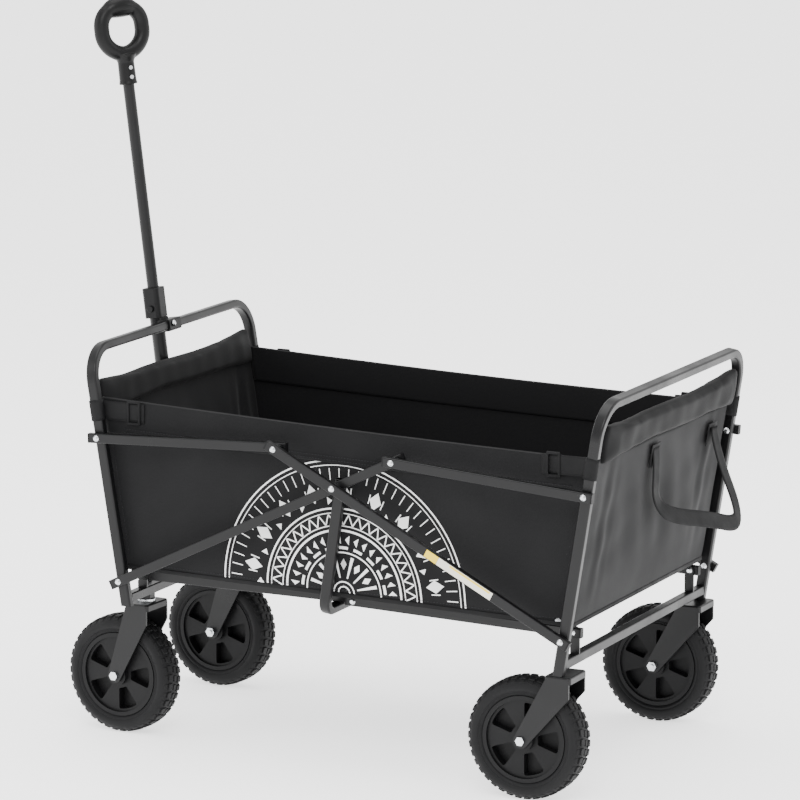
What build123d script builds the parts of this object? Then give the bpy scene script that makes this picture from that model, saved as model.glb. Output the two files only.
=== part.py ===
from build123d import *
import os
from math import atan, cos, degrees, hypot, radians, sin

# Folding camp wagon. Millimetres, +Z up, +X towards the pull handle, +Y the wagon's left side.
# Inside this file x = 0 is the crossing of the side braces; ORIGIN_X then moves everything
# so that the finished part's box is centred on x = 0.
os.makedirs("parts", exist_ok=True)
ORIGIN_X = -38.1

# Fit allowances
FIT = 0.05
GAP = 0.3
WALL = 1.2

# Side linkage: the body leans back slightly, so every height rises by PITCH for each mm forward
PITCH = 0.021
LEAN = 0.16
TOP_PIVOT_X, TOP_PIVOT_Z = 388.0, 456.5
LOW_PIVOT_X, LOW_PIVOT_Z = 354.4, 246.7
LINK_X, LINK_Z = 93.0, 473.7
CROSS_Z = 426.5
LEAN_DEG = degrees(atan(LEAN))

# Tubes
LEG_X, LEG_Y, LEG_R = 16.0, 13.0, 3.0
BAR_H, BAR_D, BAR_R = 14.0, 10.0, 1.5
BAR_OVERRUN = 11.0
U_BAR_Z = 582.0
U_BEND = 48.0
BEAM = 14.0

# Layers across the wagon, near side (the far side is mirrored)
FRONT_LEG_Y = 250.5
REAR_LEG_Y = 265.5
INNER_Y = 263.5
OUTER_Y = 278.5
HOOP_Y = 251.0
REAR_RAIL_Y = 222.0
FRONT_RAIL_Y = 207.0

# Rivets
PIN_R = 3.0
HEAD_R, HEAD_H = 4.7, 2.6

# Rails and hoop
RAIL_END_X = 349.0
REAR_RAIL_Z, FRONT_RAIL_Z = 241.0, 254.5
RAIL_JOINT_X, RAIL_JOINT_Z = -6.0, 252.0
HOOP_X, HOOP_DEEP, HOOP_BEND = 16.0, 12.0, 18.0
HOOP_FOOT_X, HOOP_FOOT_Z = 27.0, 238.5

# Wheels
TYRE_R, TYRE_W, RIM_R = 89.0, 47.0, 63.0
RIM_LIP_R, RIM_W, DISC_T = 57.0, 42.0, 34.0
HUB_R, HUB_W, SLEEVE_R, BOLT_R = 16.0, 50.0, 6.0, 4.0
SPOKES = 5
REAR_AXLE_X, REAR_WHEEL_Y = -292.0, 245.0
FRONT_AXLE_X, FRONT_WHEEL_Y = 406.3, 156.5
CASTER_X = 367.6
CASTER_YAW = -4.0

# Forks
PLATE_X, PLATE_Y, SHEET, CAP_H = 40.0, 60.0, 3.0, 10.0
REAR_PLATE_X = -347.0
REAR_PLATE_Z, FRONT_PLATE_Z = 187.0, 202.0
REAR_BEAM_Z, FRONT_BEAM_Z = 202.0, 226.5
CHEEK_DROP = 26.0
CHEEK_END_R = 11.0
HANGING = (Align.CENTER, Align.CENTER, Align.MAX)
FOOT_BOLT_R = 3.0
KING_R, RACE_R, BEARING_H = 5.0, 14.0, 4.0
BLOCK_REACH, BLOCK_W = 10.0, 18.0

# Pull handle
HANDLE_X, HANDLE_Z, HANDLE_LEAN = 382.6, 222.0, 7.15
LOWER_R, UPPER_R, TUBE_WALL = 10.6, 8.6, 1.2
LOWER_TOP, COLLAR_LOW, COLLAR_TOP = 412.0, 381.0, 426.0
UPPER_LOW, SOCKET_LOW, RING_LOW = 352.0, 733.0, 779.0
RING_W, RING_H, GRIP_R = 70.0, 72.0, 10.0
GRIP_TURN = 56.0
STUD_R = 1.8
STUD_HEIGHTS = (SOCKET_LOW + 11, SOCKET_LOW + 25)

# Bag
BAG_FRONT_Y, BAG_REAR_Y, BAG_WALL = 236.0, 243.0, 2.0
BAG_LOW, BAG_TOP, BAG_TOP_RISE = 260.5, 507.5, 0.0325
BOARDS, BOARD_L, BOARD_T = 4, 170.0, 4.0
SLEEVE_LOW, SLEEVE_HIGH, SLEEVE_T, SLEEVE_Y = 500.0, 543.0, 20.0, 230.0
STRAP_Z, STRAP_H, STRAP_T = 495.0, 30.0, 1.0
LOOP_T, LOOP_W = 3.0, 24.0
LOOP_POINTS = ((-404, 38, 468), (-394, 38, 392), (-437, -183, 326), (-402, -183, 458))


def pitched(x, z):
    """A point of the side linkage, as (x, z), raised by the body's pitch."""
    return (x, z + PITCH * x)


P1 = pitched(TOP_PIVOT_X, TOP_PIVOT_Z)
P2 = pitched(LINK_X, LINK_Z)
P3 = pitched(0, CROSS_Z)
P4 = pitched(-LINK_X, LINK_Z)
P5 = pitched(-TOP_PIVOT_X, TOP_PIVOT_Z)
P6 = pitched(-LOW_PIVOT_X, LOW_PIVOT_Z)
P7 = pitched(LOW_PIVOT_X, LOW_PIVOT_Z)
RAIL_REAR = (-RAIL_END_X, REAR_RAIL_Z)
RAIL_FRONT = (RAIL_END_X, FRONT_RAIL_Z)
RAIL_JOINT = (RAIL_JOINT_X, RAIL_JOINT_Z)


def save(node, *solids):
    """Write one node's solids, moved to the part's origin, as parts/NODE.step."""
    placed = [Pos(ORIGIN_X, 0, 0) * solid for shape in solids for solid in shape.solids()]
    whole = placed[0] if len(placed) == 1 else Compound(children=placed)
    export_step(whole, f"parts/{node}.step")


def both(*shapes):
    """The shapes and their mirror images on the far side."""
    return [copy for shape in shapes for copy in (shape, mirror(shape, about=Plane.XZ))]


def leg_x(end, z):
    """Centre of a leg at height z; end is +1 for the front frame, -1 for the rear."""
    low = P7 if end > 0 else P6
    return low[0] + end * LEAN * (z - low[1])


def across(x, z, y_low, y_high, radius):
    """A round pin along Y between two widths."""
    return Pos(x, (y_low + y_high) / 2, z) * Rot(X=90) * Cylinder(radius, y_high - y_low)


def dome(x, z, y, outward):
    """A rivet's domed head on the face at y, standing out by HEAD_H."""
    head = Cone(HEAD_R, HEAD_R * 0.55, HEAD_H, align=(Align.CENTER, Align.CENTER, Align.MIN))
    return Pos(x, y, z) * Rot(X=-90 if outward > 0 else 90) * head


def rivet(x, z, y_low, y_high):
    """A rivet through y_low to y_high with a domed head at each end."""
    return across(x, z, y_low, y_high, PIN_R) + dome(x, z, y_high, 1) + dome(x, z, y_low, -1)


def washer(x, z, y_low, y_high, bore):
    """A plain ring round a pivot."""
    return across(x, z, y_low, y_high, HEAD_R + 1) - across(x, z, y_low - 1, y_high + 1, bore)


def box_tube(length, height, depth, radius):
    """A rectangular tube along X with rounded long edges, centred on the origin."""
    skin = fillet(Box(length, height, depth).edges().filter_by(Axis.X), radius)
    return skin - Box(length + 2, height - 2 * WALL, depth - 2 * WALL)


def bar(start, end, y, before, after, pins):
    """A flat-sided bar tube from start to end in the layer at y, with its two end plugs.

    pins holds (point, radius) pairs for the holes drilled through it.
    """
    span = hypot(end[0] - start[0], end[1] - start[1])
    along = Vector(end[0] - start[0], 0, end[1] - start[1])
    place = Plane(origin=(start[0], y, start[1]), x_dir=along, z_dir=(0, -1, 0))
    length = span + before + after
    middle = (span + after - before) / 2
    tube = place.location * Pos(middle, 0, 0) * box_tube(length, BAR_H, BAR_D, BAR_R)
    for (x, z), radius in pins:
        tube -= across(x, z, y - BAR_D, y + BAR_D, radius)
    return tube, [bar_plug(place, -before, -1), bar_plug(place, span + after, 1)]


def bar_plug(place, x, way):
    """A plastic plug in a bar's end: a spigot inside the tube and a rounded flange over it."""
    flange = fillet(Box(2.4, BAR_H, BAR_D).edges().filter_by(Axis.X), BAR_R)
    spigot = Box(5, BAR_H - 2 * WALL, BAR_D - 2 * WALL)
    plug = Pos(way * 1.2, 0, 0) * flange + Pos(-way * 2.5, 0, 0) * spigot
    return place.location * Pos(x, 0, 0) * plug


def bent_tube(place, points, bend, wide, deep, radius):
    """A rounded box tube swept along straight runs and tangent bends in a plane."""
    path = place.location * FilletPolyline(*points, radius=bend)
    start = Plane(origin=path @ 0, z_dir=path % 0, x_dir=place.z_dir)
    outline = RectangleRounded(wide, deep, radius)
    bore = RectangleRounded(wide - 2 * WALL, deep - 2 * WALL, radius - WALL)
    return sweep(start * (outline - bore), path=path)


def end_frame(end):
    """One end frame: a bent U of two leaning legs and the push bar across their tops."""
    side = FRONT_LEG_Y if end > 0 else REAR_LEG_Y
    low = FRONT_PLATE_Z + 14 if end > 0 else REAR_PLATE_Z
    low_pivot = P7 if end > 0 else P6
    top_pivot = P1 if end > 0 else P5
    lean = radians(LEAN_DEG)
    top = (U_BAR_Z + end * PITCH * 408 - low_pivot[1]) / cos(lean)
    foot = (low - 6 - low_pivot[1]) / cos(lean)
    place = Plane(origin=(low_pivot[0], 0, low_pivot[1]), x_dir=(0, 1, 0),
                  z_dir=(cos(lean), 0, -end * sin(lean)))
    points = [(-side, foot), (-side, top), (side, top), (side, foot)]
    frame = bent_tube(place, points, U_BEND, LEG_X, LEG_Y, LEG_R)
    frame -= Pos(low_pivot[0], 0, low - 50) * Box(200, 800, 100)
    for x, z in (low_pivot, top_pivot):
        frame -= across(x, z, -400, 400, PIN_R)
    return frame


def cross_beam(end):
    """The square tube between two legs, with the ears that the floor rails pivot on."""
    side = (FRONT_LEG_Y if end > 0 else REAR_LEG_Y) - LEG_Y / 2
    height = FRONT_BEAM_Z if end > 0 else REAR_BEAM_Z
    pivot = RAIL_FRONT if end > 0 else RAIL_REAR
    rail_y = FRONT_RAIL_Y if end > 0 else REAR_RAIL_Y
    x = leg_x(end, height)
    beam = Pos(x, 0, height) * Rot(Z=90) * box_tube(2 * side, BEAM, BEAM, 2)
    ear_y = rail_y - BAR_D / 2 - GAP - 1.5
    base = height + BEAM / 2
    ear = Pos(pivot[0], ear_y, (base + pivot[1]) / 2) * Box(BEAM, 3, pivot[1] - base)
    ear += across(pivot[0], pivot[1], ear_y - 1.5, ear_y + 1.5, BEAM / 2)
    ear -= across(pivot[0], pivot[1], ear_y - 3, ear_y + 3, PIN_R)
    return Compound(children=[beam] + both(ear))


def pivot_rivets(end):
    """The rivets that stay with an end frame: two through each leg and one through each ear."""
    leg = FRONT_LEG_Y if end > 0 else REAR_LEG_Y
    layer = INNER_Y if end > 0 else OUTER_Y
    rail_y = FRONT_RAIL_Y if end > 0 else REAR_RAIL_Y
    rail = RAIL_FRONT if end > 0 else RAIL_REAR
    pins = []
    for x, z in ((P1, P7) if end > 0 else (P5, P6)):
        pins.append(rivet(x, z, leg - LEG_Y / 2, layer + BAR_D / 2))
        ring = washer(x, z, leg + LEG_Y / 2, layer - BAR_D / 2 - GAP, PIN_R)
        pins.append(ring)
    pins.append(rivet(rail[0], rail[1], rail_y - BAR_D / 2 - GAP - 3, rail_y + BAR_D / 2))
    return both(*pins)


def tyre():
    """A solid tyre about Z with rounded shoulders and a groove in each side wall."""
    half = TYRE_W / 2
    outline = Polyline((RIM_R, -half + 4), (RIM_R, half - 4), (RIM_R + 5, half), (TYRE_R - 9, half),
                       (TYRE_R - 1.5, half - 9), (TYRE_R, 6), (TYRE_R, -6), (TYRE_R - 1.5, -half + 9),
                       (TYRE_R - 9, -half), (RIM_R + 5, -half), close=True)
    ring = revolve(Plane.XZ * make_face(outline), axis=Axis.Z)
    for way in (1, -1):
        ring -= Pos(0, 0, way * half) * (Cylinder(RIM_R + 8, 2) - Cylinder(RIM_R + 6, 2))
    return ring


def rim():
    """A moulded wheel about Z: barrel, five flat spokes with pockets between them, and hub."""
    barrel = Cylinder(RIM_R, RIM_W) - Cylinder(RIM_LIP_R, RIM_W + 1)
    disc = Cylinder(RIM_LIP_R, DISC_T)
    pocket_sweep = 180 / SPOKES
    inner, outer = HUB_R + 5, RIM_LIP_R - 4
    half = pocket_sweep / 2
    edges = [CenterArc((0, 0), inner, -half, pocket_sweep), CenterArc((0, 0), outer, -half, pocket_sweep)]
    edges += [Line(edges[0] @ t, edges[1] @ t) for t in (0, 1)]
    pocket = extrude(make_face(edges), DISC_T / 2)
    pocket = fillet(pocket.edges().filter_by(Axis.Z), 3)
    for number in range(SPOKES):
        turn = Rot(Z=(number + 0.5) * 360 / SPOKES)
        disc -= turn * Pos(0, 0, 2.5) * pocket
        disc -= turn * Pos(0, 0, -2.5 - DISC_T / 2) * pocket
    wheel = barrel + disc + Cylinder(HUB_R, HUB_W)
    return wheel - Cylinder(SLEEVE_R + FIT, HUB_W + 2)


def axle_set():
    """A wheel bolt about Z with its sleeve and nut, the head on the +Z side."""
    face = PLATE_Y / 2
    sleeve = Cylinder(SLEEVE_R, 2 * (face - SHEET)) - Cylinder(BOLT_R, 2 * face)
    head = Pos(0, 0, face) * extrude(RegularPolygon(6.9, 6), 4)
    nut = Pos(0, 0, -face - 6) * extrude(RegularPolygon(7.5, 6), 6) - Cylinder(BOLT_R, 100)
    shank = Pos(0, 0, -4) * Cylinder(BOLT_R, 2 * face + 10)
    return [shank + head, sleeve, nut]


def fork(plate_x, height):
    """A pressed fork about its axle at the origin: a shallow cap and two tapering cheeks."""
    cap = Box(PLATE_X, PLATE_Y, CAP_H, align=HANGING)
    cap = fillet(cap.edges().filter_by(Axis.Z), 5)
    cap = fillet(cap.faces().sort_by(Axis.Z)[-1].edges(), 2.5)
    cap -= Pos(0, 0, -SHEET) * Box(PLATE_X - 2 * SHEET, PLATE_Y - 2 * SHEET, CAP_H, align=HANGING)
    shape = Pos(plate_x, 0, height) * cap
    upper = Pos(plate_x, height - 5 - CHEEK_DROP / 2) * Rectangle(PLATE_X - 4, CHEEK_DROP)
    outline = make_hull(upper.edges() + Circle(CHEEK_END_R).edges())
    cheek = Pos(0, PLATE_Y / 2, 0) * extrude(Plane.XZ * outline, SHEET)
    for plate in (cheek, mirror(cheek, about=Plane.XZ)):
        shape += plate
    return shape - across(0, 0, -100, 100, BOLT_R)


def wheel_place(end, side):
    """Where a wheel's parts built about the origin go: (axle place, fork place)."""
    turn = Rot(X=-90 if side > 0 else 90)
    if end < 0:
        seat = Pos(REAR_AXLE_X, side * REAR_WHEEL_Y, TYRE_R)
        return seat * turn, seat
    stem = Pos(CASTER_X, side * FRONT_WHEEL_Y, TYRE_R) * Rot(Z=CASTER_YAW)
    seat = stem * Pos(FRONT_AXLE_X - CASTER_X, 0, 0)
    return seat * turn, seat


def build_wheels():
    """Four wheels, two fixed rear forks and two front casters."""
    rear_bolts = []
    for end in (1, -1):
        for side, hand in ((1, "left"), (-1, "right")):
            axle, seat = wheel_place(end, side)
            place = f"{'front' if end > 0 else 'rear'}_{hand}"
            save(f"tyre_{place}", axle * tyre())
            save(f"rim_{place}", axle * rim())
            bolts = [axle * piece for piece in axle_set()]
            if end < 0:
                rear_bolts += bolts
                body = seat * fork(REAR_PLATE_X - REAR_AXLE_X, REAR_PLATE_Z - TYRE_R)
                foot = Pos(leg_x(-1, REAR_PLATE_Z), side * REAR_LEG_Y, REAR_PLATE_Z)
                body -= foot * Cylinder(FOOT_BOLT_R, 20)
                save(f"fork_{place}", body)
            else:
                save(f"caster_axle_{hand}", *bolts)
                body = seat * fork(CASTER_X - FRONT_AXLE_X, FRONT_PLATE_Z - TYRE_R)
                body -= Pos(CASTER_X, side * FRONT_WHEEL_Y, FRONT_PLATE_Z) * Cylinder(KING_R + FIT, 40)
                save(f"caster_fork_{hand}", body)
    save("axle_bolts_rear", *rear_bolts)


def build_fork_fixings():
    """What holds the forks: foot bolts with plugs at the rear, blocks and king pins in front."""
    bolt = Pos(leg_x(-1, REAR_PLATE_Z), REAR_LEG_Y, REAR_PLATE_Z)
    shank = bolt * Pos(0, 0, 4) * Cylinder(FOOT_BOLT_R, 20)
    head = bolt * Pos(0, 0, -SHEET) * Cylinder(2 * FOOT_BOLT_R, 3, align=HANGING)
    save("foot_bolts_rear", *both(shank + head))
    face = leg_x(1, FRONT_BEAM_Z) + BEAM / 2
    low, high = FRONT_PLATE_Z + BEARING_H, FRONT_BEAM_Z + BEAM / 2
    length = CASTER_X + BLOCK_REACH - face
    block = Pos(face + length / 2, FRONT_WHEEL_Y, (low + high) / 2) * Box(length, BLOCK_W, high - low)
    block = fillet(block.edges().filter_by(Axis.Z), 2)
    block -= Pos(CASTER_X, FRONT_WHEEL_Y, low) * Cylinder(KING_R, 120)
    save("caster_blocks", *both(block))
    middle = (FRONT_PLATE_Z + high) / 2 + 2
    pin = Pos(CASTER_X, FRONT_WHEEL_Y, middle) * Cylinder(KING_R, high - FRONT_PLATE_Z + 18)
    under = Pos(CASTER_X, FRONT_WHEEL_Y, FRONT_PLATE_Z - SHEET - GAP)
    pin += under * Cylinder(KING_R + 4, 4, align=HANGING)
    nut = extrude(RegularPolygon(KING_R + 4, 6), 7) - Cylinder(KING_R, 40)
    save("king_pins", *both(pin, Pos(CASTER_X, FRONT_WHEEL_Y, high) * nut))
    height = BEARING_H - GAP
    race = Cylinder(RACE_R, height) - Cylinder(KING_R, 20)
    save("caster_bearings", *both(Pos(CASTER_X, FRONT_WHEEL_Y, low - height / 2) * race))


def build_frames():
    """The two end frames, their cross beams and their own rivets."""
    for end, name in ((1, "front"), (-1, "rear")):
        save(f"u_frame_{name}", end_frame(end))
        save(f"cross_beam_{name}", cross_beam(end))
        save(f"pivot_rivets_{name}", *pivot_rivets(end))


def build_braces():
    """The long crossing braces and the short top links on both sides, with plugs and rivets."""
    free, tight = PIN_R + FIT, PIN_R
    outer_in, outer_out = OUTER_Y - BAR_D / 2, OUTER_Y + BAR_D / 2
    inner_in, inner_out = INNER_Y - BAR_D / 2, INNER_Y + BAR_D / 2
    tube, plugs = bar(P6, P2, OUTER_Y, BAR_OVERRUN, BAR_OVERRUN, [(P6, free), (P3, tight), (P2, tight)])
    save("outer_braces", *both(tube))
    save("outer_brace_plugs", *both(*plugs))
    spacers = [washer(x, z, inner_out + GAP, outer_in, tight) for x, z in (P2, P3)]
    crossing = rivet(P3[0], P3[1], HOOP_Y - HOOP_DEEP / 2, outer_out)
    ending = across(P2[0], P2[1], inner_out + GAP, outer_out, PIN_R) + dome(P2[0], P2[1], outer_out, 1)
    save("outer_brace_rivets", *both(crossing, ending, *spacers))
    tube, plugs = bar(P7, P4, INNER_Y, BAR_OVERRUN, BAR_OVERRUN, [(P7, free), (P3, free), (P4, tight)])
    save("inner_braces", *both(tube))
    save("inner_brace_plugs", *both(*plugs))
    stub = across(P4[0], P4[1], inner_in, inner_out, PIN_R) + dome(P4[0], P4[1], inner_in, -1)
    save("inner_brace_rivets", *both(stub))
    tube, plugs = bar(P1, P2, INNER_Y, BAR_OVERRUN, BAR_OVERRUN, [(P1, free), (P2, tight)])
    save("front_links", *both(tube))
    save("front_link_plugs", *both(*plugs))
    stub = across(P2[0], P2[1], inner_in, inner_out, PIN_R) + dome(P2[0], P2[1], inner_in, -1)
    save("front_link_rivets", *both(stub))
    tube, plugs = bar(P5, P4, OUTER_Y, BAR_OVERRUN, BAR_OVERRUN, [(P5, free), (P4, tight)])
    save("rear_links", *both(tube))
    save("rear_link_plugs", *both(*plugs))
    ending = across(P4[0], P4[1], inner_out + GAP, outer_out, PIN_R) + dome(P4[0], P4[1], outer_out, 1)
    save("rear_link_rivets", *both(ending, washer(P4[0], P4[1], inner_out + GAP, outer_in, tight)))


def build_hoop():
    """The hoop that hangs from the crossing rivets and runs under the floor rails."""
    drop = Vector(HOOP_FOOT_X - P3[0], 0, HOOP_FOOT_Z - P3[1])
    place = Plane(origin=(P3[0], 0, P3[1]), x_dir=(0, 1, 0), z_dir=Vector(0, 1, 0).cross(drop))
    points = [(HOOP_Y, -9), (HOOP_Y, drop.length), (-HOOP_Y, drop.length), (-HOOP_Y, -9)]
    hoop = bent_tube(place, points, HOOP_BEND, HOOP_X, HOOP_DEEP, 3)
    save("support_hoop", hoop - across(P3[0], P3[1], -400, 400, PIN_R + FIT))


def build_rails():
    """The floor rails: a front and a rear one on each side, meeting at a rivet in the middle."""
    free, tight = PIN_R + FIT, PIN_R
    pins = [(RAIL_FRONT, free), (RAIL_JOINT, tight)]
    tube, plugs = bar(RAIL_JOINT, RAIL_FRONT, FRONT_RAIL_Y, 9, 11, pins)
    save("front_rails", *both(tube))
    save("front_rail_plugs", *both(*plugs))
    pins = [(RAIL_REAR, free), (RAIL_JOINT, tight)]
    tube, plugs = bar(RAIL_REAR, RAIL_JOINT, REAR_RAIL_Y, 11, 9, pins)
    save("rear_rails", *both(tube))
    save("rear_rail_plugs", *both(*plugs))
    x, z = RAIL_JOINT
    low, high = FRONT_RAIL_Y + BAR_D / 2 + GAP, REAR_RAIL_Y + BAR_D / 2
    pin = across(x, z, low, high, PIN_R) + dome(x, z, high, 1)
    save("rail_joint_rivets", *both(pin, washer(x, z, low, REAR_RAIL_Y - BAR_D / 2, tight)))


def handle_place():
    """The pull handle's own frame: origin at its pivot, Z up the tubes."""
    lean = radians(HANDLE_LEAN)
    up = (sin(lean), 0, cos(lean))
    return Plane(origin=(HANDLE_X, 0, HANDLE_Z), x_dir=(cos(lean), 0, -sin(lean)), z_dir=up)


def rod(radius, low, high, bore=0.0):
    """A round bar or tube along Z between two heights."""
    shape = Pos(0, 0, (low + high) / 2) * Cylinder(radius, high - low)
    return shape - Pos(0, 0, (low + high) / 2) * Cylinder(bore, high - low + 2) if bore else shape


def grip():
    """A D-shaped hand grip: a neck socket, a bent ring and a thicker bar across the top."""
    half = RING_W / 2
    points = [(-15, 0), (15, 0), (half + 2, 40), (half - 3, RING_H), (3 - half, RING_H),
              (-half - 2, 40)]
    place = Plane(origin=(0, 0, RING_LOW), x_dir=(1, 0, 0), z_dir=(0, -1, 0))
    path = place.location * FilletPolyline(*points, radius=(13, 13, 32, 18, 18, 32), close=True)
    start = Plane(origin=path @ 0, z_dir=path % 0)
    ring = sweep(start * Circle(GRIP_R), path=path)
    bar_shape = Pos(0, 0, RING_LOW + RING_H - 2) * Rot(Y=90) * chamfer(Cylinder(12.5, 38).edges(), 5)
    neck = rod(13, SOCKET_LOW, RING_LOW - 4)
    shape = ring + bar_shape + neck
    shape -= rod(UPPER_R, SOCKET_LOW - 1, RING_LOW - 12)
    for height in STUD_HEIGHTS:
        shape -= Pos(0, 0, height) * Rot(X=90) * Cylinder(STUD_R, 60)
    return shape


def build_handle():
    """The telescoping pull handle, its bracket on the front beam and its clip on the push bar."""
    frame = handle_place().location
    lower = rod(LOWER_R, -14, LOWER_TOP, LOWER_R - TUBE_WALL)
    lower -= Rot(X=90) * Cylinder(BOLT_R + FIT, 60)
    save("handle_lower_tube", frame * lower)
    collar = Pos(0, 0, (COLLAR_LOW + COLLAR_TOP) / 2) * Box(27, 30, COLLAR_TOP - COLLAR_LOW)
    collar = fillet(collar.edges().filter_by(Axis.Z), 7)
    collar = fillet(collar.faces().sort_by(Axis.Z)[-1].edges(), 1.5)
    collar -= rod(LOWER_R + FIT, COLLAR_LOW - 1, LOWER_TOP + FIT)
    collar -= rod(UPPER_R + FIT, COLLAR_LOW, COLLAR_TOP + 1)
    seat = Pos(0, 0, COLLAR_LOW + 14) * Rot(X=-90)
    collar -= seat * Pos(0, 0, 14) * Cylinder(5 + FIT, 6)
    save("lock_collar", frame * collar)
    button = fillet(Cylinder(5, 4.5).edges().sort_by(Axis.Z)[-1], 1)
    save("lock_button", frame * seat * Pos(0, 0, 16.5) * button)
    upper = rod(UPPER_R, UPPER_LOW, RING_LOW - 12, UPPER_R - WALL)
    for height in STUD_HEIGHTS:
        upper -= frame_turn() * Pos(0, 0, height) * Rot(X=90) * Cylinder(STUD_R, 60)
    save("handle_upper_tube", frame * upper)
    bore = LOWER_R - TUBE_WALL - FIT
    bush = rod(bore, UPPER_LOW - 3, UPPER_LOW) + rod(bore, UPPER_LOW, UPPER_LOW + 18, UPPER_R)
    save("guide_bush", frame * bush)
    save("hand_grip", frame * frame_turn() * grip())
    stud = Rot(X=-90) * (Cylinder(STUD_R, 26) + Pos(0, 0, 13.7) * Cylinder(3, 1.4))
    save("grip_rivets", *[frame * frame_turn() * Pos(0, 0, height) * stud for height in STUD_HEIGHTS])
    back = leg_x(1, FRONT_BEAM_Z) + BEAM / 2
    plate = Pos(back + 1.5, 0, FRONT_BEAM_Z - 4) * Box(3, 34, 30)
    ear = Pos((back + HANDLE_X) / 2, 15.5, HANDLE_Z) * Box(HANDLE_X - back, 3, 22)
    ear += across(HANDLE_X, HANDLE_Z, 14, 17, 11)
    bracket = plate + ear + mirror(ear, about=Plane.XZ)
    save("handle_bracket", bracket - across(HANDLE_X, HANDLE_Z, -60, 60, BOLT_R))
    pin = across(HANDLE_X, HANDLE_Z, -17, 17, BOLT_R)
    for low in (17, -20):
        pin += across(HANDLE_X, HANDLE_Z, low, low + 3, 6.5)
    save("handle_pivot_pin", pin)
    build_clip(frame)


def frame_turn():
    """The hand grip's turn about the handle's own axis."""
    return Rot(Z=GRIP_TURN)


def build_clip(frame):
    """The plastic clip on the front push bar: a saddle and an open half-round cradle."""
    bar_z = U_BAR_Z + PITCH * 408
    bar_x = leg_x(1, bar_z)
    tilt = Pos(bar_x, 0, bar_z) * Rot(Y=LEAN_DEG)
    saddle = tilt * fillet(Box(LEG_X + 5, 35, LEG_Y + 5).edges().filter_by(Axis.Y), 3)
    saddle -= tilt * Box(LEG_X, 60, LEG_Y)
    centre = (bar_z - HANDLE_Z) / cos(radians(HANDLE_LEAN))
    cradle = rod(LOWER_R + 3.5, centre - 9, centre + 9) + Pos(-9, 0, centre) * Box(10, 20, 18)
    cradle -= rod(LOWER_R + GAP, centre - 20, centre + 20)
    cradle -= Pos(25, 0, centre) * Box(50, 60, 40)
    clip = saddle + frame * cradle
    clip -= frame * rod(LOWER_R + GAP, centre - 30, centre + 30)
    clip -= tilt * Box(LEG_X, 60, LEG_Y)
    save("handle_clip", clip)


def bag_height(x, low):
    """Height of the bag's lower or upper edge at x."""
    return BAG_LOW + PITCH * x if low else BAG_TOP + BAG_TOP_RISE * x


def bag_block(inset, extra_top, floor):
    """The bag's outline as a solid, drawn in by inset on all four sides."""
    ends = []
    for end in (1, -1):
        for low in (True, False):
            x = leg_x(end, bag_height(end * 370, low))
            z = bag_height(x, low) + (floor if low else extra_top)
            ends.append((x - end * inset + end * LEAN * (floor if low else extra_top), z))
    side = make_face(Polyline(ends[0], ends[1], ends[3], ends[2], close=True))
    block = extrude(Plane.XZ * side, 400, both=True)
    front, rear = BAG_FRONT_Y - inset, BAG_REAR_Y - inset
    plan = make_face(Polyline((420, front), (-420, rear), (-420, -rear), (420, -front), close=True))
    return block & extrude(plan, 800)


def build_bag():
    """The fabric tub, its stiff floor boards, end sleeves, corner straps and pull loop."""
    tub = bag_block(-1, 0, 0) - bag_block(BAG_WALL - 1, 40, BAG_WALL)
    for end, name in ((1, "front"), (-1, "rear")):
        low, high = (edge + end * PITCH * 400 for edge in (SLEEVE_LOW, SLEEVE_HIGH))
        middle = (low + high) / 2
        place = Pos(leg_x(end, middle), 0, middle) * Rot(Y=end * LEAN_DEG)
        roll = fillet(Box(SLEEVE_T, 2 * SLEEVE_Y, high - low).edges(), 9)
        save(f"end_sleeve_{name}", place * roll)
        tub -= place * Pos(0, 0, 20) * Box(SLEEVE_T + 2, 2 * SLEEVE_Y + 1, high - low + 42)
        build_strap(end, name)
    save("bag", tub)
    boards = []
    board = Rot(Y=-degrees(atan(PITCH))) * Box(BOARD_L - 4, 2 * (BAG_FRONT_Y - 14), BOARD_T)
    for number in range(BOARDS):
        x = (number - (BOARDS - 1) / 2) * BOARD_L - 2
        boards.append(Pos(x, 0, bag_height(x, True) + BAG_WALL + GAP + BOARD_T / 2) * board)
    save("floor_boards", *boards)
    build_pull_loop()


def build_strap(end, name):
    """The webbing that ties a bag corner round its leg."""
    side = FRONT_LEG_Y if end > 0 else REAR_LEG_Y
    height = STRAP_Z + end * PITCH * 400
    place = Pos(leg_x(end, height), side, height) * Rot(Y=end * LEAN_DEG)
    wide, deep = LEG_X + 2 * GAP, LEG_Y + 2 * GAP
    band = Box(wide + 2 * STRAP_T, deep + 2 * STRAP_T, STRAP_H) - Box(wide, deep, STRAP_H + 2)
    save(f"corner_straps_{name}", *both(place * band))


def build_pull_loop():
    """A drooping webbing loop on the outside of the rear panel."""
    pieces = []
    for start, end in zip(LOOP_POINTS, LOOP_POINTS[1:]):
        run = Vector(*end) - Vector(*start)
        middle = (Vector(*end) + Vector(*start)) * 0.5
        upright = abs(run.Z) > abs(run.Y)
        flat = Vector(0, 1, 0).cross(run) if upright else Vector(1, 0, 0)
        place = Plane(origin=middle, z_dir=run, x_dir=flat)
        pieces.append(place.location * Box(LOOP_T, LOOP_W, run.length + 8))
    save("pull_loop", pieces[0] + pieces[1] + pieces[2])


build_frames()
build_braces()
build_hoop()
build_rails()
build_wheels()
build_fork_fixings()
build_handle()
build_bag()
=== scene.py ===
import logging
from dataclasses import dataclass, field
from enum import Enum
from math import atan, ceil, cos, hypot, pi, radians, sin
from typing import Callable, Sequence

import bmesh
import bpy
from mathutils import Matrix, Vector


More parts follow.
